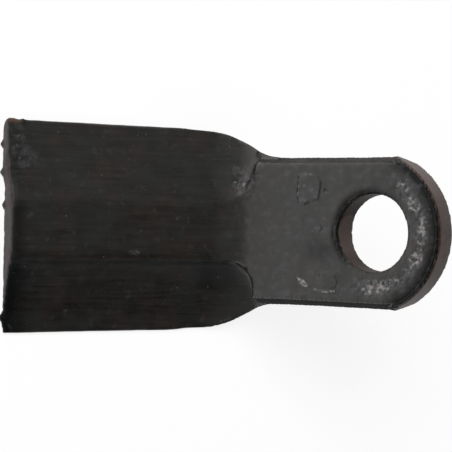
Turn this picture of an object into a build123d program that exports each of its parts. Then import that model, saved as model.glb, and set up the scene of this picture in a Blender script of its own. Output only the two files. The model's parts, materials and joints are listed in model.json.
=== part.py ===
"""Hammer mill blade: a swinging blade forged in one piece from flat spring-steel bar.

The flat back of the wide blade lies on the floor, and the shank with the pivot hole rises from it.
The tip points to -X, the shank to +X, and the hollow side of the bend is up.
Lengths are in millimetres, angles in degrees.
"""

import os
from math import acos, cos, degrees, radians, sin

from build123d import *

# The flat bar, whose section the shank keeps
bar_thickness = 10.4
bar_width = 49.0
face_width = 44.8

# The bend between shank and blade, with its radius on the hollow side
bend_angle = 59.4
bend_radius = 15.0

# The shank, measured along it from the end of the bend
hole_reach = 45.7
hole_diameter = 25.5
end_radius = 26.4
end_setback = 3.1
rim_rounding = 0.8
hole_rounding = 0.5

# The blade's outline
blade_length = 68.4
tip_width = 69.2
shoulder_width = 68.6
neck_radius = 12.0
shoulder_radius = 34.0
neck_start = 16.0

# The section across the blade, with heights above its flat back
spine_upper = 8.5
spine_lower = 10.0
upper_edge_height = 4.6
step_width = 1.6
step_drop = 1.9
hollow_depth = 0.7
land_width = 6.5
land_height = 1.8
lower_edge_height = 1.3

# Where the bevels run out against the full thickness of the shank
runout_gap = 0.5
upper_runout_radius = 16.0
lower_runout_radius = 11.0

# The blade thins evenly towards its sheared tip, where the plain bevel's edge was pressed round
tip_thickness = 9.2
tip_rounding = 2.2

# The web beyond the neck thins out into the sides of the bar over this length
fade_length = 9.0

# Tools reach past the metal they cut or trim by this much
reach = 5.0

outer_radius = bend_radius + bar_thickness
bend_axis = Axis((0, 0, outer_radius), (0, -1, 0))
angle = radians(bend_angle)
bend_end = (outer_radius * sin(angle), 0, outer_radius * (1 - cos(angle)))
along_shank = (cos(angle), 0, sin(angle))
off_shank = (-sin(angle), 0, cos(angle))
shank_length = hole_reach - end_setback + end_radius

# Section planes have local x across the blade and local y through its thickness
blade_plane = Plane.YZ
shank_plane = Plane(origin=bend_end, x_dir=(0, 1, 0), z_dir=along_shank)

# The shank's plan has local x along the shank, from the end of the bend
shank_plan = Plane(origin=bend_end, x_dir=along_shank, z_dir=off_shank)

# The dies close along the line that halves the bend, and the outline is square to that line
half_angle = angle / 2
die_origin = (outer_radius * sin(half_angle), 0, outer_radius * (1 - cos(half_angle)))
die_plan = Plane(
    origin=die_origin,
    x_dir=(cos(half_angle), 0, sin(half_angle)),
    z_dir=(-sin(half_angle), 0, cos(half_angle)),
)

# Middle of the finished part's box along X, which becomes the origin
part_middle = (bend_end[0] + shank_length * cos(angle) - blade_length) / 2


def bar_section():
    """Flat bar with sides that swell out to half its thickness."""
    face = face_width / 2
    side = bar_width / 2
    points = [(face, 0), (side, bar_thickness / 2), (face, bar_thickness)]
    mirrored = [(-x, y) for x, y in reversed(points)]
    return make_face(Polyline(*points, *mirrored, close=True))


def blade_section(top=bar_thickness):
    """Flat back, spine as thick as top, plain bevel above it and hollow bevel below."""
    edge = tip_width / 2
    squeeze = top / bar_thickness
    upper_slope = (bar_thickness - upper_edge_height) / (edge - spine_upper)
    upper_end = (upper_edge_height - upper_slope * reach) * squeeze
    foot = (-spine_lower - step_width, (bar_thickness - step_drop) * squeeze)
    land = (land_width - edge, land_height * squeeze)
    outline = [
        Line((-edge - reach, 0), (edge + reach, 0)),
        Line((edge + reach, 0), (edge + reach, upper_end)),
        Line((edge + reach, upper_end), (spine_upper, top)),
        Line((spine_upper, top), (-spine_lower, top)),
        Line((-spine_lower, top), foot),
        SagittaArc(foot, land, hollow_depth * squeeze),
        Polyline(land, (-edge, lower_edge_height * squeeze), (-edge - reach, lower_edge_height * squeeze)),
        Line((-edge - reach, lower_edge_height * squeeze), (-edge - reach, 0)),
    ]
    return make_face(outline)


def round_bend(section):
    """A section carried round the bend."""
    return revolve(blade_plane * section, axis=bend_axis, revolution_arc=bend_angle)


def blade_outline():
    """Plan of the blade along the dies' stroke, fading into the bar beyond the neck."""
    neck = bar_width / 2
    shoulder = shoulder_width / 2
    swing = degrees(acos(1 - (shoulder - neck) / (neck_radius + shoulder_radius)))
    concave = JernArc((neck_start, neck), (-1, 0), neck_radius, -swing)
    convex = JernArc(concave @ 1, concave % 1, shoulder_radius, swing)
    tip = -outer_radius * sin(half_angle) - blade_length * cos(half_angle)
    slope = (tip_width - shoulder_width) / 2 / ((convex @ 1).X - tip)
    far = tip - reach
    fade_end = (neck_start + fade_length, face_width / 2 - 1)
    upper = [
        Line(fade_end, (neck_start, neck)),
        concave,
        convex,
        Line(convex @ 1, (far, tip_width / 2 + slope * reach)),
    ]
    lower = [edge.mirror(Plane.XZ) for edge in upper]
    ends = [
        Line(upper[-1] @ 1, lower[-1] @ 1),
        Line(upper[0] @ 0, lower[0] @ 0),
    ]
    return make_face([*upper, *lower, *ends])


def winged_blade():
    """The blade and the bend with its spread wings, trimmed to the outline."""
    tip = Pos(-blade_length, 0, 0) * (blade_plane * blade_section(tip_thickness))
    straight = loft([tip, blade_plane * blade_section()], ruled=True)
    stub_length = neck_start + fade_length + reach
    stub = extrude(shank_plane * blade_section(), stub_length)
    slab = straight + round_bend(blade_section()) + stub
    height = blade_length + shank_length
    trim = extrude(die_plan * blade_outline(), height, both=True)
    return slab & trim


def shank_cover():
    """Plan of the full-thickness face: it ends at the bend in two run-outs beside the spine."""
    far = shank_length + reach
    wide = tip_width / 2 + reach
    upper = spine_upper + upper_runout_radius
    lower = -spine_lower - lower_runout_radius
    upper_arc = JernArc((runout_gap, upper), (0, -1), upper_runout_radius, -90)
    lower_arc = JernArc((runout_gap, lower), (0, 1), lower_runout_radius, 90)
    outline = [
        Polyline((runout_gap, lower), (runout_gap, -wide), (far, -wide), (far, wide), (runout_gap, wide)),
        Line((runout_gap, wide), (runout_gap, upper)),
        upper_arc,
        Line(upper_arc @ 1, lower_arc @ 1),
        lower_arc,
    ]
    return make_face(outline)


def shank():
    """The flat bar from the bend to its round end, with the pivot hole."""
    straight = extrude(shank_plane * bar_section(), shank_length + reach)
    bar = straight + round_bend(bar_section())
    cover = extrude(shank_plan * shank_cover(), shank_length, both=True)
    bar = bar & cover
    end_centre = hole_reach - end_setback
    beyond = Rectangle(end_radius + 2 * reach, bar_width + 2 * reach, align=(Align.MIN, Align.CENTER))
    waste = Pos(end_centre, 0) * beyond - Pos(end_centre, 0) * Circle(end_radius)
    return bar - extrude(shank_plan * waste, bar_thickness + reach, both=True)


def face_arcs(body, radius):
    """Arcs of one radius where a wall meets the shank's face on the hollow side."""
    found = []
    for edge in body.edges().filter_by(GeomType.CIRCLE):
        height = shank_plan.to_local_coords(edge.arc_center).Z
        if abs(edge.radius - radius) < 0.01 and abs(height - bar_thickness) < 0.01:
            found.append(edge)
    return found


def tip_edge(body):
    """The upper edge of the sheared tip, along the plain bevel."""
    ends = body.edges().filter_by_position(Axis.X, -blade_length, -blade_length)
    return [edge for edge in ends if edge.center().Y > spine_upper and edge.center().Z > tip_thickness / 2]


def hammer_blade():
    """Blade and shank as one forging, standing with the middle of its box over the origin."""
    body = winged_blade() + shank()
    hole = shank_plan * Pos(hole_reach, 0) * Circle(hole_diameter / 2)
    body -= extrude(hole, bar_thickness + reach, both=True)
    body = fillet(tip_edge(body), tip_rounding)
    body = fillet(face_arcs(body, end_radius), rim_rounding)
    body = fillet(face_arcs(body, hole_diameter / 2), hole_rounding)
    return Pos(-part_middle, 0, 0) * body


if __name__ == "__main__":
    os.makedirs("parts", exist_ok=True)
    blade = hammer_blade()
    export_step(blade, "parts/hammer_blade.step")
    hole_centre = shank_plan.from_local_coords((hole_reach, 0, bar_thickness / 2))
    print("volume", blade.volume, "solids", len(blade.solids()), "valid", blade.is_valid)
    print("box", blade.bounding_box())
    print("centre of mass", blade.center(CenterOf.MASS))
    print("pivot hole centre", hole_centre - Vector(part_middle, 0, 0), "axis", off_shank)
    print("back of the blade", (-blade_length / 2 - part_middle, 0, 0))
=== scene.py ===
# %% [markdown]
# # A forged hammer mill blade
#
# This blade swings on a bolt inside a mill that chops feed. It was forged from one length of flat
# spring steel: dies spread the end into two thin wings, the bar was bent, the eye was punched, the
# round end was trimmed, and the tip was sheared off. Hardening left black scale on it, under oil.
#
# The frame already holds the true shape and size. This lesson adds what such a smooth model lacks:
# softened edges, the pull of the shear and of the punch, flakes, burrs and scars, and the finish.

import json
from math import radians

import bpy
import numpy as np
from mathutils import Matrix, Quaternion, Vector, noise


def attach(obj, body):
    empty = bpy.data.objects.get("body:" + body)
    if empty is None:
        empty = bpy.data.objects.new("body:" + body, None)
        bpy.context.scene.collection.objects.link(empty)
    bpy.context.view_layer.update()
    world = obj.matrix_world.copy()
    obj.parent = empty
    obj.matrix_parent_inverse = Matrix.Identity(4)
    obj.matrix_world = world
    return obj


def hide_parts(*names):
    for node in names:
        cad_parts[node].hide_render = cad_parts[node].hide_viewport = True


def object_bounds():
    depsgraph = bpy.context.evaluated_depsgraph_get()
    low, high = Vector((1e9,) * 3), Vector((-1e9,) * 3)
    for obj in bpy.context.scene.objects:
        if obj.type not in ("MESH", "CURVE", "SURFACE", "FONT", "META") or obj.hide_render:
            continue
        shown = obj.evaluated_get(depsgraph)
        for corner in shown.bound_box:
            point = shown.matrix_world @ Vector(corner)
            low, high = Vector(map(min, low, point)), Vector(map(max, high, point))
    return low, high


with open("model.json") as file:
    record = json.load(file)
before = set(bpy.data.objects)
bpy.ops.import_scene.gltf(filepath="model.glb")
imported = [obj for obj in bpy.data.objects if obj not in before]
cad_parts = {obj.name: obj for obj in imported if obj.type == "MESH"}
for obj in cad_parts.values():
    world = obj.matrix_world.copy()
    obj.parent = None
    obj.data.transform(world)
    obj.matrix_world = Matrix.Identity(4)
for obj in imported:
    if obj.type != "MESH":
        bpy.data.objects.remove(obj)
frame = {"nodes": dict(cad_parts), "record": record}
frame_low, frame_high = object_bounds()
print("nodes in the frame:", list(frame["nodes"]))

# %% [markdown]
# ## Places on the blade
#
# The flat back of the blade lies on the floor, with the tip towards -X. The shank rises towards +X
# at a slant, so marks on its face are easier to place in the shank's own plan: so far along it and
# so far across it from the eye. The record's bore mount gives the eye's place, axis and radius, and
# three directions from it make the matrix that carries a plan point to the real face.

# %% Measure the shank
MM = 0.001
bar_thickness = 10.4 * MM

eye = next(mount for mount in frame["record"]["mounts"] if mount["name"] == "pivot_hole")
eye_radius = eye["dims"]["r_mm"] * MM
off_face = Vector(eye["axis"]).normalized()
across = Vector((0, 1, 0))
along_shank = across.cross(off_face)
eye_on_back = Vector(eye["pos_m"]) - off_face * eye["dims"]["length_mm"] * MM / 2
eye_on_face = eye_on_back + off_face * bar_thickness

shank_plan = Matrix((along_shank, across, off_face)).transposed().to_4x4()
shank_plan.translation = eye_on_face
print("eye on the face, mm:", [round(value / MM, 1) for value in eye_on_face])

# %% [markdown]
# ## The camera
#
# The photo looks down into the hollow of the bend, with the blade leaning a little to one side and
# the shank to the other. A long lens half a metre away gives its gentle perspective. The camera is
# aimed from its place to a point on the blade, with image up along +Y, and then rolled slightly.

# %% Place the camera
camera_place = Vector((-217.3, 3.22, 467.5)) * MM
camera_aim = Vector((8.03, 1.35, 20.0)) * MM
camera_roll = radians(1.07)
lens_length = 119.5

camera_data = bpy.data.cameras.new("camera")
camera_data.sensor_fit = "HORIZONTAL"
camera_data.sensor_width = 36
camera_data.lens = lens_length
camera_data.clip_start = 0.01
camera = bpy.data.objects.new("camera", camera_data)
bpy.context.collection.objects.link(camera)

back_axis = (camera_place - camera_aim).normalized()
right_axis = across.cross(back_axis).normalized()
up_axis = back_axis.cross(right_axis)
level = Matrix((right_axis, up_axis, back_axis)).transposed().to_quaternion()
camera.location = camera_place
camera.rotation_mode = "QUATERNION"
camera.rotation_quaternion = Quaternion(back_axis, camera_roll) @ level
bpy.context.scene.camera = camera
print("camera distance, mm:", round((camera_place - camera_aim).length / MM))

# %% [markdown]
# ## Nodes and colours
#
# Colours are chosen as sRGB hex values, which is how a screen shows them, but shaders want linear
# light, so one function converts them. Another adds a node with its settings and links: a name that
# the node has as a property is set there, and any other name is one of its input sockets.


# %% Helpers for materials
def linear(hex_colour):
    """An sRGB hex colour as linear RGBA."""
    channels = [int(hex_colour[place : place + 2], 16) / 255 for place in (1, 3, 5)]
    light = [c / 12.92 if c <= 0.04045 else ((c + 0.055) / 1.055) ** 2.4 for c in channels]
    return (*light, 1.0)


def add_node(tree, kind, settings=None, links=None):
    """A node of one kind, with properties or input values set, and inputs linked to outputs."""
    node = tree.nodes.new(kind)
    for name, value in (settings or {}).items():
        if isinstance(name, str) and hasattr(node, name):
            setattr(node, name, value)
        else:
            node.inputs[name].default_value = value
    for name, source in (links or {}).items():
        tree.links.new(source, node.inputs[name])
    return node


print("black scale in linear light:", [round(value, 4) for value in linear("#262423")])

# %% [markdown]
# ## The studio
#
# Black scale shows its shape through what it mirrors. The shank leans so that it mirrors the white
# table far to the left, and the blade mirrors the room above. In the photo the shank is the lighter
# one, so the room is dim overhead and on the near side, and white only low down on the left.
#
# The floor shows its own white to the camera and in reflections, through Light Path, with a small
# share of plain diffuse white that keeps the soft shadow under the shank.

# %% Build the floor and the room
FLOOR_SIZE = 6.0
FLOOR_GLOW = 0.85
white_wall = Vector((-0.35, 0.45, -0.82)).normalized()

# Each step has how nearly a direction points at the white wall, from -1 to 1, and the grey there
room_steps = [
    (-0.98, "#2c2c2c"),
    (-0.86, "#6a6a6a"),
    (-0.62, "#7a7a7a"),
    (0.00, "#8c8c8c"),
    (0.24, "#c0c0c0"),
    (0.36, "#ffffff"),
]


def seen_directly(tree):
    """1 for rays that carry a picture: from the camera, in gloss or through glass."""
    path = add_node(tree, "ShaderNodeLightPath")
    seen = path.outputs["Is Camera Ray"]
    for name in ("Is Glossy Ray", "Is Transmission Ray"):
        links = {0: seen, 1: path.outputs[name]}
        seen = add_node(tree, "ShaderNodeMath", {"operation": "MAXIMUM"}, links).outputs[0]
    return seen


def white_floor():
    """Matt white paper that looks evenly white and still takes a faint shadow."""
    material = bpy.data.materials.new("white_paper_floor")
    material.use_nodes = True
    tree = material.node_tree
    tree.nodes.clear()
    paper = add_node(tree, "ShaderNodeBsdfDiffuse", {"Color": linear("#f2f2f2")})
    glow = add_node(tree, "ShaderNodeEmission", {"Color": linear("#ffffff"), "Strength": 1.0})
    settings = {"operation": "MULTIPLY", 1: FLOOR_GLOW}
    share = add_node(tree, "ShaderNodeMath", settings, {0: seen_directly(tree)})
    links = {0: share.outputs[0], 1: paper.outputs[0], 2: glow.outputs[0]}
    mix = add_node(tree, "ShaderNodeMixShader", links=links)
    add_node(tree, "ShaderNodeOutputMaterial", links={"Surface": mix.outputs[0]})
    return material


def studio_room():
    """A room whose grey depends on how nearly a direction points at the white wall."""
    world = bpy.data.worlds.new("studio_room")
    world.use_nodes = True
    tree = world.node_tree
    tree.nodes.clear()
    place = add_node(tree, "ShaderNodeTexCoord")
    settings = {"operation": "DOT_PRODUCT", 1: white_wall}
    towards = add_node(tree, "ShaderNodeVectorMath", settings, {0: place.outputs["Generated"]})
    share = add_node(
        tree,
        "ShaderNodeMapRange",
        {"From Min": -1.0, "From Max": 1.0},
        {"Value": towards.outputs["Value"]},
    )
    ramp = add_node(tree, "ShaderNodeValToRGB", links={0: share.outputs["Result"]})
    while len(ramp.color_ramp.elements) < len(room_steps):
        ramp.color_ramp.elements.new(1.0)
    for step, (position, colour) in zip(ramp.color_ramp.elements, room_steps):
        step.position = (position + 1) / 2
        step.color = linear(colour)
    room = add_node(tree, "ShaderNodeBackground", {"Strength": 1.0}, {"Color": ramp.outputs[0]})
    add_node(tree, "ShaderNodeOutputWorld", links={"Surface": room.outputs[0]})
    return world


bpy.ops.mesh.primitive_plane_add(size=FLOOR_SIZE)
floor = bpy.context.object
floor.name = "floor"
floor.data.materials.append(white_floor())
bpy.context.scene.world = studio_room()
bpy.context.scene.view_settings.view_transform = "Standard"
print("room greys:", len(room_steps))

# %% [markdown]
# ## The lamps
#
# The walls make the reflections. The lamps only lift the matt part of the finish to a plain level,
# so they are kept out of gloss, as a photographer flags a lamp that would show in a black product.


# %% Hang the lamps
def soft_lamp(name, direction, distance, size, power):
    """A square area lamp that faces the object from one direction."""
    data = bpy.data.lights.new(name, "AREA")
    data.size = size
    data.energy = power
    lamp = bpy.data.objects.new(name, data)
    bpy.context.collection.objects.link(lamp)
    towards = Vector(direction).normalized()
    lamp.location = towards * distance
    lamp.rotation_mode = "QUATERNION"
    lamp.rotation_quaternion = towards.to_track_quat("Z", "Y")
    lamp.visible_glossy = False
    return lamp


soft_lamp("key_lamp", (-0.35, 0.55, 0.75), 1.2, 0.8, 16)
soft_lamp("fill_lamp", (0.5, -0.5, 0.7), 1.4, 0.9, 5)

# %% [markdown]
# ## The raw forging
#
# The frame's mesh is the true shape, but its triangles share no corners and its edges are knife
# sharp. A forging has neither. So a copy of the mesh is merged, more raw metal is joined to it, and
# a voxel remesh then turns all of it into one even skin of small squares, which can be shaped like
# clay. The frame's own mesh stays as it is.


# %% Copy and merge the frame's mesh
def select_only(piece):
    """Makes one object the only selected one, and the active one."""
    bpy.ops.object.select_all(action="DESELECT")
    piece.select_set(True)
    bpy.context.view_layer.objects.active = piece


forging = bpy.data.objects.new("forged_blade", frame["nodes"]["hammer_blade"].data.copy())
bpy.context.collection.objects.link(forging)
forging.data.materials.clear()
select_only(forging)
bpy.ops.object.mode_set(mode="EDIT")
bpy.ops.mesh.select_all(action="SELECT")
bpy.ops.mesh.remove_doubles(threshold=0.001 * MM)
bpy.ops.object.mode_set(mode="OBJECT")
print("merged corners:", len(forging.data.vertices))

# %% [markdown]
# ## Burrs on the sheared tip
#
# A shear pushes a ragged lip out at the side where it leaves the metal. Here it left lumps on the
# back edge and at both corners. Small round lumps, stretched along the edge, are half sunk into the
# tip, and the remesh will melt them into it.

# %% Add the burrs
tip_x = frame_low.x / MM

# Each burr has its place behind the tip, across and up, and its three radii, in millimetres
burrs = [
    ((1.4, 34.3, 3.4), (1.9, 0.8, 1.0)),
    ((4.6, 34.3, 4.0), (1.6, 0.7, 0.7)),
    ((0.1, 26.6, 0.9), (1.0, 1.1, 0.9)),
    ((0.1, 17.4, 0.9), (0.9, 1.0, 0.9)),
    ((0.1, 6.9, 0.9), (0.9, 1.1, 0.9)),
    ((0.1, -29.6, 0.8), (1.4, 1.6, 0.9)),
    ((0.4, -31.8, 0.8), (0.7, 1.2, 0.8)),
]


def add_burr(place, radii):
    """One lump of squeezed-out metal at the tip."""
    behind, aside, up = place
    bpy.ops.object.select_all(action="DESELECT")
    bpy.ops.mesh.primitive_ico_sphere_add(subdivisions=3, radius=MM)
    burr = bpy.context.object
    burr.name = "burr"
    burr.scale = radii
    burr.location = Vector((tip_x + behind, aside, up)) * MM
    bpy.ops.object.transform_apply(location=True, rotation=False, scale=True)
    return burr


raw_metal = [add_burr(place, radii) for place, radii in burrs]
print("burrs:", len(burrs))

# %% [markdown]
# ## One skin
#
# The voxel remesh works like dipping the whole heap of shapes in wax and keeping only the outside.
# It leaves small stairs on the slanting edges. Smoothing takes them away but also shrinks every
# corner, so each round of smoothing is followed by one that pushes back a little harder. The stairs
# go and the corners stay. The shank's face carries the finest marks, so its squares are then split.

# %% Remesh and soften
SKIN_STEP = 0.66 * MM
SMOOTH_ROUNDS = 4
SMOOTH_IN = 0.60
PUSH_BACK = -0.66


def apply(piece, name, kind, **settings):
    """Adds one modifier with its settings and applies it."""
    modifier = piece.modifiers.new(name, kind)
    for setting, value in settings.items():
        setattr(modifier, setting, value)
    bpy.ops.object.modifier_apply(modifier=modifier.name)


bpy.ops.object.select_all(action="DESELECT")
for lump in raw_metal:
    lump.select_set(True)
forging.select_set(True)
bpy.context.view_layer.objects.active = forging
bpy.ops.object.join()
apply(forging, "one_skin", "REMESH", mode="VOXEL", voxel_size=SKIN_STEP)
for _ in range(SMOOTH_ROUNDS):
    apply(forging, "smooth_in", "SMOOTH", factor=SMOOTH_IN, iterations=1)
    apply(forging, "push_back", "SMOOTH", factor=PUSH_BACK, iterations=1)
print("corners:", len(forging.data.vertices), "faces:", len(forging.data.polygons))

# %% [markdown]
# ## Reading the skin
#
# From here on the skin is shaped by moving its points in code. Every rule below asks where a point
# is: behind the tip and across the blade, or along, across and off the shank's face from the eye.
# One function reads the points, and small helpers turn a distance into a soft share from 0 to 1.


# %% Read the points and measure them
def read_skin():
    """The skin's points in millimetres, and the way each one faces."""
    count = len(forging.data.vertices)
    places = np.empty(count * 3, np.float32)
    facing = np.empty(count * 3, np.float32)
    forging.data.vertices.foreach_get("co", places)
    forging.data.vertex_normals.foreach_get("vector", facing)
    return places.reshape(-1, 3).astype(float) / MM, facing.reshape(-1, 3).astype(float)


def write_skin(places):
    """Puts the moved points back into the mesh."""
    forging.data.vertices.foreach_set("co", (places * MM).astype(np.float32).ravel())
    forging.data.update()


def in_shank_plan(places):
    """Each point's distances along, across and off the shank's face, from the eye."""
    from_eye = places - np.array(eye_on_face) / MM
    return from_eye @ np.array(along_shank), from_eye[:, 1], from_eye @ np.array(off_face)


def rise(low, high, value):
    """0 below low, 1 above high, and a smooth step between."""
    share = np.clip((value - low) / (high - low), 0, 1)
    return share * share * (3 - 2 * share)


def blob(along, aside, centre, radii):
    """1 at a centre, falling off softly over an oval."""
    far = np.hypot((along - centre[0]) / radii[0], (aside - centre[1]) / radii[1])
    return 1 - rise(0.3, 1.0, far)


def from_line(along, aside, start, end):
    """Each point's distance from a straight line between two places."""
    run = np.array(end) - np.array(start)
    share = ((along - start[0]) * run[0] + (aside - start[1]) * run[1]) / (run @ run)
    share = np.clip(share, 0, 1)
    return np.hypot(along - start[0] - share * run[0], aside - start[1] - share * run[1])


def stroke(along, aside, corners, width):
    """1 along a bent line, falling off over its half width."""
    far = [from_line(along, aside, *ends) for ends in zip(corners, corners[1:])]
    return 1 - rise(0.2 * width, width, np.min(far, axis=0))


def plate(along, aside, corners, edge):
    """1 inside an outline with straight sides, falling off over its narrow edge."""
    closed = corners + corners[:1]
    within = np.zeros(len(along), bool)
    for (u0, v0), (u1, v1) in zip(closed, closed[1:]):
        if v0 != v1:
            met = u0 + (aside - v0) * (u1 - u0) / (v1 - v0)
            within ^= ((v0 > aside) != (v1 > aside)) & (along < met)
    far = np.min([from_line(along, aside, *ends) for ends in zip(closed, closed[1:])], axis=0)
    return rise(-edge, edge, np.where(within, far, -far))


def rough(places, grain, seed=0.0):
    """Smooth noise from -1 to 1 at each point. grain is the size of its lumps, one number or three."""
    spots = places / np.array(grain) + seed
    return np.array([noise.noise(spot) for spot in spots])


points, normals = read_skin()
print("skin box, mm:", points.min(0).round(1), points.max(0).round(1))

# %% [markdown]
# ## Worn steps, finer face
#
# The frame has a crisp step beside the spine and crisp walls where both bevels run out. Worn dies
# leave them as soft shoulders, so only the points near them are smoothed, through vertex groups.
# Then the squares of the shank's face are selected by place and split once.

# %% Wear the steps and split the face
STEP_MIDDLE = -10.8
STEP_REACH = 3.4
UPPER_RUNOUT = (-61.2, 24.5, 16.0)
LOWER_RUNOUT = (-56.2, -21.0, 11.0)
FACE_START = -56


def wear(name, near, rounds):
    """Smooths only the points that are near something, many times over."""
    group = forging.vertex_groups.new(name=name)
    group.add(np.flatnonzero(near).tolist(), 1.0, "REPLACE")
    apply(forging, name, "SMOOTH", factor=0.5, iterations=rounds, vertex_group=name)


def on_arc(along, aside, arc, reach):
    """Whether a point is within reach of a circle in the shank's plan."""
    return np.abs(np.hypot(along - arc[0], aside - arc[1]) - arc[2]) < reach


along, aside, off = in_shank_plan(points)
facing_up = normals[:, 2] > 0.15
in_front = normals @ np.array(off_face) > -0.5
wear("step", (np.abs(aside - STEP_MIDDLE) < STEP_REACH) & facing_up & (along < -55), 36)
upper = on_arc(along, aside, UPPER_RUNOUT, 3.0) & (aside < 23) & (along > -66)
wear("upper_runout", upper & in_front, 30)
lower = on_arc(along, aside, LOWER_RUNOUT, 2.4) & (aside > -22) & (along > -59)
wear("lower_runout", lower & in_front, 20)
open_face = (points[:, 0] - tip_x > 3) & (np.abs(aside) < 31) & (along < -47) & facing_up
wear("open_face", open_face, 12)

centres = np.empty(len(forging.data.polygons) * 3, np.float32)
forging.data.polygons.foreach_get("center", centres)
along, aside, off = in_shank_plan(centres.reshape(-1, 3) / MM)
fine = (along > FACE_START) & (off > -1.2)
select_only(forging)
bpy.ops.object.mode_set(mode="EDIT")
bpy.ops.mesh.select_all(action="DESELECT")
bpy.ops.object.mode_set(mode="OBJECT")
forging.data.polygons.foreach_set("select", fine)
bpy.ops.object.mode_set(mode="EDIT")
bpy.context.tool_settings.mesh_select_mode = (False, False, True)
bpy.ops.mesh.subdivide(number_cuts=1)
bpy.ops.object.mode_set(mode="OBJECT")
triangles = sum(len(face.vertices) - 2 for face in forging.data.polygons)
print("triangles:", triangles)

# %% [markdown]
# ## What the shear did to the tip
#
# The shear left the back edge bulging past the front one, most of all under the thick-edged wing,
# and it pressed that wing's corner down. The rules push points back behind the tip, with a share
# that fades away from the cut. The neck is a little fuller than the frame's arcs, so it swells.

# %% Shape the tip
points, normals = read_skin()
behind = points[:, 0] - tip_x
aside = points[:, 1]
up = points[:, 2]
at_cut = 1 - rise(0.0, 3.0, behind)
under_wing = rise(12.0, 18.0, aside) * (1 - 0.7 * rise(31.0, 34.6, aside))
low_down = 1 - rise(1.0, 9.0, up)
ragged = rough(points, (4.0, 1.3, 2.0))
swell = under_wing * (0.40 + 0.40 * low_down)
points[:, 0] -= at_cut * (0.18 + swell + 0.16 * ragged)

crushed = rise(10.0, 16.0, aside) * (1 - rise(0.5, 6.0, behind)) * rise(0.8, 3.0, up)
points[:, 2] -= crushed * (0.40 + 0.22 * rough(points, 1.7, 2.0))

along, aside, off = in_shank_plan(points)
neck = 1 - rise(4.0, 12.0, np.abs(along + 43.0))
shank_side = rise(-38.0, -30.0, along) * (1 - rise(5.0, 9.0, along))
fuller = (0.48 * neck + 0.25 * shank_side) * rise(20.0, 24.0, np.abs(aside))
shoulder = 1 - rise(1.0, 8.0, np.abs(points[:, 0] - 5.5))
fuller -= 0.28 * shoulder * rise(28.0, 33.0, np.abs(aside))
fuller += 0.20 * rise(28.0, 33.0, -aside) * (1 - rise(-4.0, 5.0, points[:, 0]))
fuller += 0.22 * (1 - rise(3.0, 9.0, np.abs(points[:, 0] - 20.0))) * rise(22.0, 26.0, aside)
points[:, 1] += np.sign(aside) * fuller
write_skin(points)
print("tip now starts at, mm:", round(points[:, 0].min(), 2))

# %% [markdown]
# ## What the punch and the trimming did to the shank
#
# A punch drags the face down around the eye, most on the side it struck first, and trimming the
# round end drags it down along the rim. Dies also leave long low waves everywhere. A bolt head has
# worn and dented the ring that it bore on. Each mark is a depth that fades with distance, and all of
# them are added up before the points move once, along the way each one faces.

# %% Shape the shank and the faces
END_SETBACK = 3.1
END_RADIUS = 26.4
RING_RADIUS = 17.8

# Outlines and lines on the shank's face, along it from the eye and across it, in millimetres
angular_flake = [(-27.4, 18.6), (-24.6, 19.4), (-20.6, 18.4), (-18.9, 16.4), (-19.5, 13.0)]
angular_flake += [(-20.0, 10.6), (-23.4, 10.1), (-25.1, 8.9), (-27.5, 9.6), (-27.9, 13.0)]
oval_flake = [(-18.6, -13.4), (-15.9, -12.9), (-13.4, -13.9), (-12.2, -15.8), (-12.8, -17.9)]
oval_flake += [(-15.0, -18.9), (-18.0, -18.3), (-19.4, -16.0)]
bright_chip = [(-27.3, -15.5), (-24.8, -15.9), (-22.1, -18.0), (-24.3, -18.2), (-26.5, -17.1)]
chip_tail = [(-20.8, -18.9), (-17.1, -19.6), (-13.4, -19.3)]
short_scratch = [(-14.0, 2.0), (-14.2, -2.0)]
runout_groove = [(-45.5, 26.4), (-45.0, 24.3), (-45.4, 21.3), (-47.2, 17.9)]



def worn_ring(along, aside, width):
    """1 on the ring that the bolt head bore on, over the side that it wore most."""
    angle = np.degrees(np.arctan2(aside, along))
    worn_side = rise(-125, -95, angle) * (1 - rise(50, 75, angle))
    return np.exp(-(((np.hypot(along, aside) - RING_RADIUS) / width) ** 2)) * worn_side


def smeared_wall(along, aside, off):
    """1 on the part of the eye's wall where the punch left a smear, from a lip that slants with depth.
    """
    angle = np.degrees(np.arctan2(aside, along)) % 360
    lip = 150 + 15 * np.exp(-np.clip(-off - 1, 0, 9) / 1.5)
    return rise(0.0, 3.0, angle - lip) * (1 - rise(205, 225, angle))


points, normals = read_skin()
along, aside, off = in_shank_plan(points)
eye_far = np.hypot(along, aside)
in_face = rise(-1.6, -0.6, off) * rise(-44.0, -40.0, along)

struck_first = 0.35 + 0.65 * rise(-0.4, 0.6, (aside - along) / np.maximum(eye_far, 1))
from_eye_rim = eye_far - eye_radius / MM
drawn = 0.55 * struck_first * np.clip(1 - from_eye_rim / 3.0, 0, 1) ** 2
from_rim = END_RADIUS - np.hypot(along + END_SETBACK, aside)
rolled = 0.50 * np.clip(1 - from_rim / 4.8, 0, 1) ** 1.5 * rise(3.0, 10.0, along)

dents = 0.08 + 0.16 * rough(points, 1.5, 7.0) + 0.08 * rough(points, 0.7, 8.0)
dented = worn_ring(along, aside, 2.6) * dents

scars = 0.16 * stroke(along, aside, short_scratch, 0.5)
scars += 0.22 * blob(along, aside, (-17.2, 13.6), (0.8, 0.8))
crescent = np.hypot(along + 19.2, aside - 1.1)
scars += 0.20 * (1 - rise(0.0, 0.5, np.abs(crescent - 0.9))) * rise(0.0, 0.5, along + 19.2)

raised = 0.22 * plate(along, aside, angular_flake, 0.32)
raised += 0.14 * plate(along, aside, oval_flake, 0.3)
raised += 0.30 * plate(along, aside, bright_chip, 0.25)
raised += 0.12 * stroke(along, aside, chip_tail, 0.7)

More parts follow.
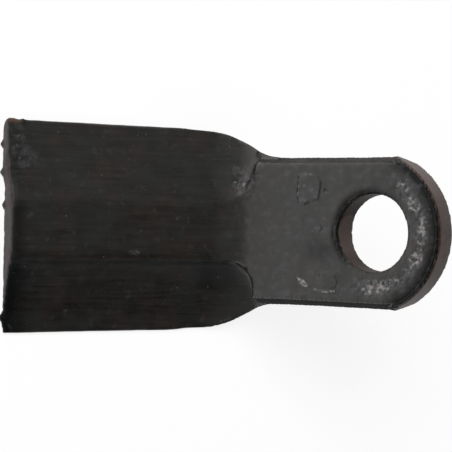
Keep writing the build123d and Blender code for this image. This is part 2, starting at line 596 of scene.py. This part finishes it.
sunk = in_face * (drawn + rolled + dented + scars - raised)
sunk += 0.40 * stroke(along, aside, runout_groove, 1.1) * rise(-6.0, -3.0, off)
waves = 0.10 * rough(points, 9.0, 3.0) + 0.05 * rough(points, 3.2, 11.0)

radial = np.stack([along, aside], 1) / np.maximum(eye_far, 1)[:, None]
plan_normals = np.stack([normals @ np.array(along_shank), normals[:, 1]], 1)
inward = -(plan_normals * radial).sum(1)
upward = normals @ np.array(off_face)
in_hole = rise(0.15, 0.6, inward) * (np.abs(from_eye_rim) < 1.4)
waves += in_hole * (0.14 + 0.12 * smeared_wall(along, aside, off) - 0.7 * waves)

centre_far = np.hypot(along + END_SETBACK, aside)
outward = plan_normals[:, 0] * (along + END_SETBACK) + plan_normals[:, 1] * aside
outward /= np.maximum(centre_far, 1)
at_end = rise(0.15, 0.6, outward) * (np.abs(from_rim) < 1.4) * rise(4, 7, along)
waves += at_end * (0.30 - 0.7 * waves)

# The dies and the punch leave sharper corners than the remesh does
corner = 2 * np.clip(upward, 0, 1) * (in_hole * inward + at_end * outward)
waves += 0.18 * np.clip(corner, 0, 1)
points += normals * (waves - sunk)[:, None]
write_skin(points)
print("deepest sink, mm:", round(float(sunk.max()), 2))

# %% [markdown]
# ## Ripples beside the bend
#
# Where the thick-edged wing's bevel runs out against the shank, the hot metal was dragged into
# small ragged folds. They are short waves whose crests wander, and they die away outwards. Last of
# all, any point that the waves pushed through the floor is lifted back onto it.

# %% Fold the run-out
FLOOR_CLEARANCE = 0.02

points, normals = read_skin()
along, aside, off = in_shank_plan(points)
near_runout = blob(along, aside, (-47.5, 16.5), (6.5, 8.0)) * rise(-6.0, -2.0, off)
wander = rough(points, (2.6, 1.8, 2.6), 5.0)
folds = np.sin(2 * np.pi * (along - 0.5 * aside) / 1.9 + 5.0 * wander)
points += normals * (0.05 * near_runout * folds)[:, None]
points[:, 2] = np.maximum(points[:, 2], FLOOR_CLEARANCE)
write_skin(points)
print("folded points:", int((near_runout > 0.1).sum()))

# %% [markdown]
# ## Where the scale was rubbed off
#
# Scale and bare steel run into each other, so the change can't be a border between faces. Instead
# each point carries a few numbers from 0 to 1, stored on the mesh under names that the finishes
# read. The first is how bare a place was rubbed: on the bolt's ring, on the raised flakes, and in
# patches where the blade was knocked about.


# %% Store what was rubbed bare
def store(name, values):
    """One number from 0 to 1 for each point, under a name that a material can read."""
    attribute = forging.data.attributes.new(name, "FLOAT", "POINT")
    attribute.data.foreach_set("value", np.clip(values, 0, 1).astype(np.float32))


# Each patch has its strength, its centre and its two radii: on the shank's face from the eye, or on
# the blade with its first distance taken from the tip
shank_patches = [
    (0.42, (1.5, -17.5), (7.5, 4.2)),
    (0.30, (14.2, 9.4), (3.4, 3.0)),
    (0.30, (18.0, 1.5), (2.6, 6.0)),
    (0.30, (15.5, -8.0), (3.6, 4.6)),
    (0.25, (10.0, 17.0), (6.0, 5.0)),
    (0.30, (-19.5, 0.3), (6.0, 3.2)),
    (0.22, (-47.5, 16.5), (7.0, 8.0)),
]
blade_patches = [
    (0.50, (4.5, 21.5), (7.0, 4.5)),
    (0.45, (3.0, 28.0), (3.5, 7.0)),
    (0.55, (42.0, -8.0), (4.5, 1.6)),
]
flake_edge = [(-27.7, 10.5), (-27.6, 18.0), (-22.0, 19.3)]
shoulder_edge = [(77.5, -31.8), (81.0, -30.6)]

points, normals = read_skin()
along, aside, off = in_shank_plan(points)
behind = points[:, 0] - tip_x
out_of_face = normals @ np.array(off_face)
looks_up = normals[:, 2] > 0.3
on_face = rise(0.2, 0.6, out_of_face)

bare = 0.22 * rise(-56, -44, along) + 0.42 * worn_ring(along, aside, 2.4)
for strength, centre, radii in shank_patches:
    bare += strength * blob(along, aside, centre, radii)
bare += 1.10 * plate(along, aside, bright_chip, 0.3)
bare += 0.80 * stroke(along, aside, chip_tail, 0.7)
bare += 0.40 * stroke(along, aside, flake_edge, 0.6)
bare += 0.20 * plate(along, aside, angular_flake, 0.3)
bare *= on_face * rise(-1.8, -0.8, off)
for strength, centre, radii in blade_patches:
    bare += strength * blob(behind, aside, centre, radii) * (normals[:, 2] > 0.5)
bare += 0.40 * blob(along, aside, (-51.0, 18.0), (5.0, 8.0)) * (off > -6) * on_face
bare += 0.70 * stroke(behind, aside, shoulder_edge, 0.6) * (normals[:, 2] > 0)
store("rubbed_bare", bare)
print("rubbed points:", int((bare > 0.2).sum()))

# %% [markdown]
# ## Heat tint and painted shade
#
# The second number is how dark and dull a place is. The shear's heat turned the scale blue-black
# beside the cut, and the wing's crushed corner is darker too. The rest is painted shade: the step,
# the groove at the run-out, the lower wing and the edges that the punch and the trimming rolled down
# are darkened where shade falls on them. Two patches are simply darker. The darkest one wins where
# several meet.

# %% Store the heat tint and the painted shade
over_spine = 0.6 * (1 - rise(1.0, 6.0, behind))
over_wing = 0.9 * (1 - rise(0.5, 10.0, behind))
beside_cut = over_spine + (over_wing - over_spine) * rise(8.0, 14.0, -aside)
beside_cut *= (1 - rise(6.0, 10.0, aside)) * looks_up
crushed = rise(9.0, 15.0, aside) * (1 - rise(1.5, 6.0, behind))

on_blade = looks_up & (along < -45)
# Painted shade in the step beside the spine, which faces down and away from the light
step_shade = rise(0.50, 0.64, -normals[:, 1]) * (np.abs(aside + 11.5) < 3) * (points[:, 2] > 3)
# Painted shade on the lower wing, which leans away from the light
lower_wing_shade = rise(11.0, 13.0, -aside) * looks_up * (1 - rise(-50, -47, along))
# Painted shade in the groove at the run-out
groove_shade = stroke(along, aside, runout_groove, 1.2) * (off > -6)

# Painted shade on the edges that the punch and the trimming rolled down, away from the light
from_eye_rim = np.hypot(along, aside) - eye_radius / MM
struck_first = rise(-0.6, 0.4, (aside - along) / np.maximum(np.hypot(along, aside), 1))
eye_edge_shade = (1 - rise(0.3, 2.6, from_eye_rim)) * struck_first * rise(-1.6, -0.8, off)
from_rim = END_RADIUS - np.hypot(along + END_SETBACK, aside)
end_edge_shade = (1 - rise(1.0, 4.5, from_rim)) * rise(3.0, 10.0, along) * rise(-0.3, 0.1, out_of_face)
end_corner_shade = 0.20 * (1 - rise(1.0, 2.4, from_rim))

# Heat tint and the crushed corner, then painted shade, then two patches that are only darker
tint_and_shade_places = [
    beside_cut,
    0.35 * crushed,
    0.85 * step_shade * on_blade,
    0.10 * lower_wing_shade,
    0.60 * groove_shade,
    0.80 * eye_edge_shade,
    (0.72 + end_corner_shade) * end_edge_shade,
    0.35 * blob(along, aside, (-19.0, -6.5), (8.0, 6.0)) * (off > -2),
    0.35 * blob(along, aside, (-59.0, -17.0), (9.0, 8.0)) * (off > -9),
]
tint_and_shade = np.max(tint_and_shade_places, axis=0)
store("blue_tint_and_painted_shade", tint_and_shade)
print("burnt points:", int((tint_and_shade > 0.2).sum()))

# %% [markdown]
# ## Smears, painted highlights and a brown corner
#
# The eye's wall is paler on one side, where the punch left a smear. The cut walls are also paler
# towards the upper ends of the rim and the tip, and there the paler colour is a painted highlight.
# Bare metal at the tip's upper corner has begun to go brown.

# %% Store the smears, the painted highlights and the brown corner
in_eye = smeared_wall(along, aside, off) * (along > -16)
# Painted highlight on the upper ends of the rim and the tip
rim_top_highlight = 0.5 * rise(8.0, 20.0, aside) * (from_rim < 1.2) * (along > 3)
tip_top_highlight = rise(20.0, 27.0, aside) * (behind < 3)
store("bright_smear_and_painted_highlight", in_eye + rim_top_highlight + tip_top_highlight)
store("browned", (1 - rise(2.0, 6.0, behind)) * rise(33.0, 34.0, aside))
print("stored:", [attribute.name for attribute in forging.data.attributes if attribute.name[0] == "b"])

# %% [markdown]
# ## Oiled black scale
#
# Hardening leaves a skin of black iron oxide, and the blade is dipped in oil, so the skin is nearly
# black, satin, and a little uneven. Drawing the bar left faint streaks along it: noise that is
# stretched along the length and fine across it. Broad mottling breaks up the tone, and sparse pale
# specks are dust and pits. Bare steel shows through in flecks where the ring was rubbed: the more
# rubbed a place is, the more of a fine noise passes the threshold. Every pattern takes its scale
# from a real size. The small functions each add one or two nodes, so a finish reads like a recipe.

# %% The scale's colours and sizes
STREAK_ACROSS = 0.8 * MM
STREAK_ALONG = 16 * MM
MOTTLE_SIZE = 6 * MM
GRIT_SIZE = 0.8 * MM
FLECK_SIZE = 1.2 * MM
FILM_SIZE = 2.4 * MM
SPECK_SPACING = 3.4 * MM
SPECK_RADIUS = 0.06
OILED_SHINE = 0.9

scale_dark = "#13110f"
scale_warm = "#25201d"
scale_cool = "#1f201e"
# Blue-black heat tint, also the colour of the painted shade
tint_and_shade_black = "#050708"
corner_brown = "#44332a"
rubbed_grey = "#39393b"
steel_fleck = "#7f7977"
speck_grey = "#4b4947"


def new_finish(name, roughness, gloss):
    """A material with a principled shader and its output, and the tree to build on."""
    material = bpy.data.materials.new(name)
    material.use_nodes = True
    shader = material.node_tree.nodes["Principled BSDF"]
    shader.inputs["Roughness"].default_value = roughness
    shader.inputs["Specular IOR Level"].default_value = gloss
    return material, material.node_tree, shader


def lumps(tree, size, detail=3.0, stretch=None):
    """Noise from 0 to 1 over the piece, with lumps of a real size, or of a size along each axis."""
    place = add_node(tree, "ShaderNodeTexCoord")
    scale = Vector([1 / length for length in (stretch or (size, size, size))])
    fitted = add_node(tree, "ShaderNodeMapping", {"Scale": scale}, {0: place.outputs["Object"]})
    settings = {"Scale": 1.0, "Detail": detail}
    return add_node(tree, "ShaderNodeTexNoise", settings, {0: fitted.outputs[0]}).outputs[0]


def blend(tree, share, first, second):
    """Mixes two colours, given as hex values or sockets, by a share from 0 to 1."""
    mix = add_node(tree, "ShaderNodeMix", {"data_type": "RGBA"}, {0: share})
    for slot, colour in ((6, first), (7, second)):
        if isinstance(colour, str):
            mix.inputs[slot].default_value = linear(colour)
        else:
            tree.links.new(colour, mix.inputs[slot])
    return mix.outputs[2]


def calculate(tree, operation, first, second=0.5):
    """Basic arithmetic on two numbers or sockets."""
    node = add_node(tree, "ShaderNodeMath", {"operation": operation})
    for slot, value in ((0, first), (1, second)):
        if isinstance(value, (int, float)):
            node.inputs[slot].default_value = value
        else:
            tree.links.new(value, node.inputs[slot])
    return node.outputs[0]


def remap(tree, value, low, high, new_low=0.0, new_high=1.0):
    """Stretches a number from one range to another, and clamps it there."""
    settings = {"From Min": low, "From Max": high, "To Min": new_low, "To Max": new_high}
    return add_node(tree, "ShaderNodeMapRange", settings, {0: value}).outputs[0]


def stored(tree, name):
    """A number that was stored on the mesh."""
    return add_node(tree, "ShaderNodeAttribute", {"attribute_name": name}).outputs["Fac"]


print("streaks every, mm:", STREAK_ACROSS / MM)

# %% [markdown]
# ## Mixing the scale
#
# Streaks, mottling and grit add up to one tone, which moves the colour between two close greys and
# the roughness a little. Over it go the blue-black of the heat tint and of the painted shade, the
# specks, a thin grey film and the bright flecks, each by its own share. Heat-tinted scale has lost
# its oil, so it shines less, and the same share dulls the shine of the painted shade.


# %% Mix the scale
def oiled_scale():
    """Nearly black, satin, streaked along the bar, with flecks of bare steel where it is rubbed."""
    material, tree, shader = new_finish("oiled_black_scale", 0.3, OILED_SHINE)
    streaks = lumps(tree, 0, 2.0, (STREAK_ALONG, STREAK_ACROSS, STREAK_ALONG))
    mottle = lumps(tree, MOTTLE_SIZE, 5.0)
    grit = lumps(tree, GRIT_SIZE, 2.0)
    coarse = calculate(tree, "MULTIPLY", calculate(tree, "ADD", streaks, mottle), 0.44)
    tone = calculate(tree, "ADD", coarse, calculate(tree, "MULTIPLY", grit, 0.12))
    tint = blend(tree, remap(tree, lumps(tree, 14 * MM), 0.45, 0.55), scale_warm, scale_cool)
    colour = blend(tree, remap(tree, tone, 0.34, 0.66), scale_dark, tint)
    # Heat tint, and painted shade in the step, the groove, the lower wing and the rolled edges
    colour = blend(tree, stored(tree, "blue_tint_and_painted_shade"), colour, tint_and_shade_black)

    place = add_node(tree, "ShaderNodeTexCoord")
    links = {0: place.outputs["Object"]}
    cells = add_node(tree, "ShaderNodeTexVoronoi", {"Scale": 1 / SPECK_SPACING}, links)
    near = calculate(tree, "LESS_THAN", cells.outputs["Distance"], SPECK_RADIUS)
    chosen = calculate(tree, "LESS_THAN", cells.outputs["Color"], 0.4)
    specks = calculate(tree, "MULTIPLY", near, chosen)
    colour = blend(tree, specks, colour, speck_grey)

    flecks = lumps(tree, FLECK_SIZE, 6.0)
    rubbed = calculate(tree, "MULTIPLY", stored(tree, "rubbed_bare"), 0.38)
    passed = calculate(tree, "ADD", rubbed, flecks)
    film = calculate(tree, "ADD", rubbed, lumps(tree, FILM_SIZE, 5.0))
    colour = blend(tree, remap(tree, film, 0.60, 1.0), colour, rubbed_grey)
    colour = blend(tree, remap(tree, passed, 0.80, 1.0), colour, steel_fleck)
    colour = blend(tree, stored(tree, "browned"), colour, corner_brown)
    tree.links.new(colour, shader.inputs["Base Color"])

    gloss = remap(tree, tone, 0.38, 0.62, 0.26, 0.36)
    tree.links.new(gloss, shader.inputs["Roughness"])
    shine = remap(tree, stored(tree, "blue_tint_and_painted_shade"), 0.0, 1.0, OILED_SHINE, 0.3 * OILED_SHINE)
    tree.links.new(shine, shader.inputs["Specular IOR Level"])
    relief = calculate(tree, "MULTIPLY", calculate(tree, "ADD", streaks, grit), 0.5)
    settings = {"Strength": 1.0, "Distance": 0.02 * MM}
    bump = add_node(tree, "ShaderNodeBump", settings, {"Height": relief})
    tree.links.new(bump.outputs[0], shader.inputs["Normal"])
    return material


def dry_scale(name, dark, light, gloss):
    """The sides, which the dies only brushed: the same skin, but dull, dry and a little brown."""
    material, tree, shader = new_finish(name, 0.6, gloss)
    mottle = lumps(tree, 2.5 * MM, 5.0)
    colour = blend(tree, remap(tree, mottle, 0.35, 0.65), dark, light)
    tree.links.new(colour, shader.inputs["Base Color"])
    bump = add_node(tree, "ShaderNodeBump", {"Distance": 0.06 * MM}, {"Height": mottle})
    tree.links.new(bump.outputs[0], shader.inputs["Normal"])
    return material


def cut_steel(name, dark, light, roughness, gloss, smear_and_highlight=None):
    """Steel that was cut cold and has since dulled: brownish grey, paler on smears and painted
    highlights.
    """
    material, tree, shader = new_finish(name, roughness, gloss)
    scoring = lumps(tree, 0.6 * MM, 3.0)
    stain = lumps(tree, 5 * MM, 3.0)
    tone = calculate(tree, "MULTIPLY", calculate(tree, "ADD", scoring, stain), 0.5)
    colour = blend(tree, remap(tree, tone, 0.35, 0.65), dark, light)
    # The paler colour is the punch's smear in the eye, and a painted highlight on the rim and the tip
    if smear_and_highlight:
        colour = blend(tree, stored(tree, "bright_smear_and_painted_highlight"), colour, smear_and_highlight)
    tree.links.new(colour, shader.inputs["Base Color"])
    bump = add_node(tree, "ShaderNodeBump", {"Distance": 0.06 * MM}, {"Height": scoring})
    tree.links.new(bump.outputs[0], shader.inputs["Normal"])
    return material


finishes = [
    oiled_scale(),
    dry_scale("dry_scale", "#191716", "#2c2826", 0.15),
    # Painted shade: a darker copy of the dry scale, for the side that faces away from the light
    dry_scale("shaded_side_scale", "#0b0908", "#16120f", 0.05),
    # The last colour of the sheared and the trimmed steel is a painted highlight; that of the punched
    # steel is a smear
    cut_steel("sheared_steel", "#241e1c", "#332a27", 0.55, 0.35, "#413a38"),
    cut_steel("trimmed_steel", "#281d19", "#45362f", 0.5, 0.35, "#5a4a44"),
    cut_steel("punched_steel", "#1a1310", "#382b25", 0.6, 0.15, "#463c38"),
]
for finish in finishes:
    forging.data.materials.append(finish)
print("finishes:", [finish.name for finish in finishes])

# %% [markdown]
# ## Which face gets which finish
#
# The faces are told apart by where they are and which way they face, as they would be picked by
# hand: the flat cut at the tip, the trimmed wall of the round end, the wall of the eye, and the
# sides. The lower side takes a darker copy of the dry scale, which is painted shade. All the rest is
# oiled scale.

# %% Assign the finishes
OILED, DRY, SHADED_SIDE, SHEARED, TRIMMED, PUNCHED = range(6)

face_count = len(forging.data.polygons)
centres = np.empty(face_count * 3, np.float32)
facings = np.empty(face_count * 3, np.float32)
forging.data.polygons.foreach_get("center", centres)
forging.data.polygons.foreach_get("normal", facings)
centres = centres.reshape(-1, 3) / MM
facings = facings.reshape(-1, 3)
along, aside, off = in_shank_plan(centres)
plan_facings = np.stack([facings @ np.array(along_shank), facings[:, 1]], 1)
plan_share = np.linalg.norm(plan_facings, axis=1)
end_far = np.hypot(along + END_SETBACK, aside)
eye_far = np.hypot(along, aside)
outward = plan_facings[:, 0] * (along + END_SETBACK) + plan_facings[:, 1] * aside
outward /= np.maximum(end_far * plan_share, 0.1)
inward = -(plan_facings[:, 0] * along + plan_facings[:, 1] * aside)
inward /= np.maximum(eye_far * plan_share, 0.1)

choice = np.full(face_count, OILED)
choice[facings[:, 1] > 0.75] = DRY
# The side facing -Y takes the painted shade copy
choice[facings[:, 1] < -0.75] = SHADED_SIDE
choice[(facings[:, 0] < -0.85) & (centres[:, 0] < tip_x + 3)] = SHEARED
upright = plan_share > 0.85
at_rim = (along > 6) & (end_far > END_RADIUS - 0.8) & (outward > 0.95)
choice[upright & at_rim & (off < -0.7)] = TRIMMED
choice[upright & (eye_far < eye_radius / MM + 0.3) & (inward > 0.9) & (off < -1.1)] = PUNCHED
forging.data.polygons.foreach_set("material_index", choice.astype(np.int32))
select_only(forging)
bpy.ops.object.shade_smooth()
print("faces per finish:", np.bincount(choice, minlength=6).tolist())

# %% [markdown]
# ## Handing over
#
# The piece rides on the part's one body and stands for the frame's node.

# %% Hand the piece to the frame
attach(forging, "root")
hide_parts("hammer_blade")
